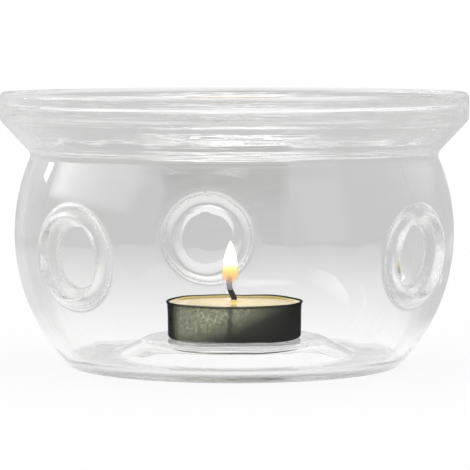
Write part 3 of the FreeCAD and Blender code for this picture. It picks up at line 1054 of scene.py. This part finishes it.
FLOOR_NEAR = -3.0
FLOOR_FAR = 0.44
FLOOR_WIDTH = 3.0
FLOOR_GAP = 0.05
FLOOR_WHITE = (4, 2, (0.96, 0.96, 0.96), (0.97, 0.97, 0.97))
FLOOR_ROUGHNESS = 0.9
FLOOR_GLOW = 0.85
FLOOR_TONES = greys((0.0, 0.95), (0.12, 0.97), (0.4, 0.88), (1.0, 0.68))
FLOOR_SIDE = 300.0
FLOOR_SIDES = greys((0.36, 0.78), (0.41, 1.0), (0.588, 1.0), (0.63, 0.64))


def floor_material():
    """Pale table: plain white to the eye, with the object's shadow in it.

    In the glass and the foil it greys with distance from the object, and beyond a strip towards both sides.
    """
    material, nodes, links = new_material("floor")
    shader = nodes["Principled BSDF"]
    white, _ = speckle(nodes, *FLOOR_WHITE)
    links.new(white, shader.inputs["Base Color"])
    set_values(shader, {"Roughness": FLOOR_ROUGHNESS, "Specular IOR Level": 0.0})
    away = between(nodes, links, axis_distance(nodes, links), 0.0, 1.0)
    away.inputs["From Max"].default_value = FLOOR_FAR
    sides = ramp(nodes, links, axis_share(nodes, links, "X", -FLOOR_SIDE, FLOOR_SIDE), FLOOR_SIDES)
    tone = product(nodes, links, ramp(nodes, links, away.outputs["Result"], FLOOR_TONES), sides, "DARKEN")
    direct = seen_rays(nodes, links, ("Is Camera Ray",))
    plain = nodes.new("ShaderNodeMix")
    plain.data_type = "RGBA"
    plain.inputs["B"].default_value = WHITE
    links.new(direct, plain.inputs["Factor"])
    links.new(tone, plain.inputs["A"])
    glow = nodes.new("ShaderNodeEmission")
    links.new(plain.outputs["Result"], glow.inputs["Color"])
    shadowed = between(nodes, links, direct, 0.0, FLOOR_GLOW)
    through = seen_rays(nodes, links, ("Is Glossy Ray", "Is Transmission Ray"))
    mix = nodes.new("ShaderNodeMixShader")
    links.new(larger(nodes, links, shadowed.outputs["Result"], through), mix.inputs["Fac"])
    links.new(shader.outputs["BSDF"], mix.inputs[1])
    links.new(glow.outputs["Emission"], mix.inputs[2])
    links.new(mix.outputs["Shader"], nodes["Material Output"].inputs["Surface"])
    return material


def stage_sheet(name, corners, material):
    """A flat sheet of four corners, in metres, that is stage and no part of the object."""
    mesh = bpy.data.meshes.new(name)
    mesh.from_pydata(corners, [], [(0, 1, 2, 3)])
    mesh.materials.append(material)
    sheet = bpy.data.objects.new(name, mesh)
    bpy.context.collection.objects.link(sheet)
    return sheet


def build_floor():
    """Pale table: its far edge is the faint line seen through the glass."""
    low = -FLOOR_GAP * MM
    corners = [(-FLOOR_WIDTH, FLOOR_NEAR, low), (FLOOR_WIDTH, FLOOR_NEAR, low),
               (FLOOR_WIDTH, FLOOR_FAR, low), (-FLOOR_WIDTH, FLOOR_FAR, low)]
    stage_sheet("floor", corners, floor_material())


GREY_ACROSS = greys((0.0, 0.0), (0.08, 1.0), (0.93, 1.0), (1.0, 0.0))
GREY_UP = greys((0.0, 0.1), (0.5, 0.45), (1.0, 1.0))
STRIP_ACROSS = greys((0.0, 0.0), (0.3, 1.0), (0.7, 1.0), (1.0, 0.0))
STRIP_UP = greys((0.0, 0.0), (0.15, 1.0), (0.8, 1.0), (1.0, 0.0))
CARD_STREAKS = (60, 2, (0.6, 0.6, 0.6), (1, 1, 1), (1, 1, 6))

# Name, reach across, reach up, glow, cover across, cover up
CARDS = (
    ("grey_card", (-37.0, 26.5), (0.0, 37.0), 0.50, GREY_ACROSS, GREY_UP),
    ("white_strip", (-50.0, 50.0), (62.0, 112.0), 1.5, STRIP_ACROSS, STRIP_UP),
)


def card_material(name, across, up, glow, cover_across, cover_up):
    """Plain light with a streaked cover that fades towards the card's edges."""
    material, nodes, links = new_material(name)
    shader = nodes["Principled BSDF"]
    set_values(shader, {"Base Color": BLACK, "Specular IOR Level": 0.0})
    set_values(shader, {"Emission Color": WHITE, "Emission Strength": glow})
    sideways = ramp(nodes, links, axis_share(nodes, links, "X", *across), cover_across)
    upwards = ramp(nodes, links, axis_share(nodes, links, "Z", *up), cover_up)
    streaks, _ = speckle(nodes, *CARD_STREAKS)
    cover = product(nodes, links, product(nodes, links, sideways, upwards), streaks)
    links.new(cover, shader.inputs["Alpha"])
    return material


def build_card(name, across, up, glow, cover_across, cover_up):
    """Card at the far edge of the table that shows through the glass only."""
    corners = [(across[0], up[0]), (across[1], up[0]), (across[1], up[1]), (across[0], up[1])]
    places = [(x * MM, FLOOR_FAR, z * MM) for x, z in corners]
    card = stage_sheet(name, places, card_material(name, across, up, glow, cover_across, cover_up))
    card.visible_camera = False
    card.visible_glossy = False
    card.visible_diffuse = False
    card.visible_shadow = False


# World, lamps and camera

UPWARD = (0.0, 0.0, 1.0)
SKY = greys((0.0, 1.0), (0.75, 1.0), (1.0, 1.15))
BACKDROP_SIDE = (0.25, 0.968, 0.0)
BACKDROP = greys((0.45, 0.80), (0.62, 0.82), (0.85, 0.76), (0.97, 0.63))
BACKDROP_RISE = greys((0.34, 0.0), (0.41, 1.0), (0.56, 1.0), (0.62, 0.0))


def build_world():
    """White to the camera and the floor; to the glass a pale studio with a low grey backdrop.

    Each tone is a ramp of the direction's share along an axis, (direction . axis + 1) / 2.
    """
    world = bpy.data.worlds.new("studio")
    bpy.context.scene.world = world
    world.use_nodes = True
    nodes, links = world.node_tree.nodes, world.node_tree.links
    nodes.clear()
    place = nodes.new("ShaderNodeTexCoord")
    tones = []
    for axis, stops in ((UPWARD, SKY), (BACKDROP_SIDE, BACKDROP), (UPWARD, BACKDROP_RISE)):
        dot = nodes.new("ShaderNodeVectorMath")
        dot.operation = "DOT_PRODUCT"
        dot.inputs[1].default_value = axis
        links.new(place.outputs["Generated"], dot.inputs[0])
        share = between(nodes, links, dot.outputs["Value"], 0.0, 1.0)
        share.inputs["From Min"].default_value = -1.0
        tones.append(ramp(nodes, links, share.outputs["Result"], stops))
    sky, backdrop, reach = tones
    low = nodes.new("ShaderNodeMix")
    low.data_type = "RGBA"
    low.inputs["A"].default_value = WHITE
    links.new(reach, low.inputs["Factor"])
    links.new(backdrop, low.inputs["B"])
    studio = nodes.new("ShaderNodeBackground")
    links.new(product(nodes, links, sky, low.outputs["Result"]), studio.inputs["Color"])
    white = nodes.new("ShaderNodeBackground")
    white.inputs["Color"].default_value = WHITE
    mix = nodes.new("ShaderNodeMixShader")
    links.new(seen_rays(nodes, links, ("Is Camera Ray", "Is Diffuse Ray")), mix.inputs["Fac"])
    links.new(studio.outputs["Background"], mix.inputs[1])
    links.new(white.outputs["Background"], mix.inputs[2])
    out = nodes.new("ShaderNodeOutputWorld")
    links.new(mix.outputs["Shader"], out.inputs["Surface"])


# Name, bearing from the front towards +X and lift in degrees, distance and size in metres, radiance
LAMPS = (
    ("window", -84, 26, 1.3, (1.6, 0.65), 7.0),
    ("side", 46, 14, 1.2, (0.65, 0.95), 2.6),
    ("bank", -17, 40, 1.1, (0.8, 0.10), 10.0),
    ("spot", -124, 16, 1.2, (0.14, 0.14), 10.0),
)
SOFT_SHARES = (1.0, 0.92, 0.84, 0.76, 0.68)
LAYER_GAP = 0.002


def area_light(name, bearing, lift, distance, size, radiance):
    """Rectangular lamp that looks at the middle of the bowl."""
    turn, rise = math.radians(bearing), math.radians(lift)
    target = Vector((0, 0, BELLY_HEIGHT * MM))
    away = Vector((math.sin(turn) * math.cos(rise), -math.cos(turn) * math.cos(rise), math.sin(rise)))
    light = bpy.data.lights.new(name, "AREA")
    light.shape = "RECTANGLE"
    light.size, light.size_y = size
    light.energy = radiance * math.pi * size[0] * size[1]
    lamp = bpy.data.objects.new(name, light)
    lamp.location = target + away * distance
    lamp.rotation_euler = (-away).to_track_quat("-Z", "Y").to_euler()
    bpy.context.collection.objects.link(lamp)
    return lamp


def soft_box(name, bearing, lift, distance, size, radiance):
    """Lamp with a soft edge, of nested rectangles, that only shows in reflections."""
    for layer, share in enumerate(SOFT_SHARES):
        inner = (size[0] * share, size[1] * share)
        lamp = area_light(f"{name}_{layer}", bearing, lift, distance + LAYER_GAP * layer, inner,
                          radiance / len(SOFT_SHARES))
        lamp.visible_transmission = False
        lamp.visible_diffuse = False


CAMERA_DISTANCE = 0.822
CAMERA_HEIGHT = 0.0928
CAMERA_TARGET = (0.0002, 0.0, 0.0362)
CAMERA_LENS = 227.0
CAMERA_SENSOR = 36.0


def build_camera():
    """Camera a little above the rim, in front of the bowl."""
    data = bpy.data.cameras.new("camera")
    data.lens = CAMERA_LENS
    data.sensor_width = CAMERA_SENSOR
    camera = bpy.data.objects.new("camera", data)
    camera.location = (CAMERA_TARGET[0], -CAMERA_DISTANCE, CAMERA_HEIGHT)
    camera.rotation_euler = (Vector(CAMERA_TARGET) - camera.location).to_track_quat("-Z", "Y").to_euler()
    bpy.context.collection.objects.link(camera)
    bpy.context.scene.camera = camera


build_object()
build_floor()
for card in CARDS:
    build_card(*card)
build_world()
build_camera()
for lamp in LAMPS:
    soft_box(*lamp)

# Light circles many times in the lips of the vents
GLASS_BOUNCES = 160
DIFFUSE_BOUNCES = 6

scene = bpy.context.scene
scene.view_settings.view_transform = "Standard"
scene.cycles.max_bounces = GLASS_BOUNCES
scene.cycles.transmission_bounces = GLASS_BOUNCES
scene.cycles.glossy_bounces = GLASS_BOUNCES
scene.cycles.diffuse_bounces = DIFFUSE_BOUNCES
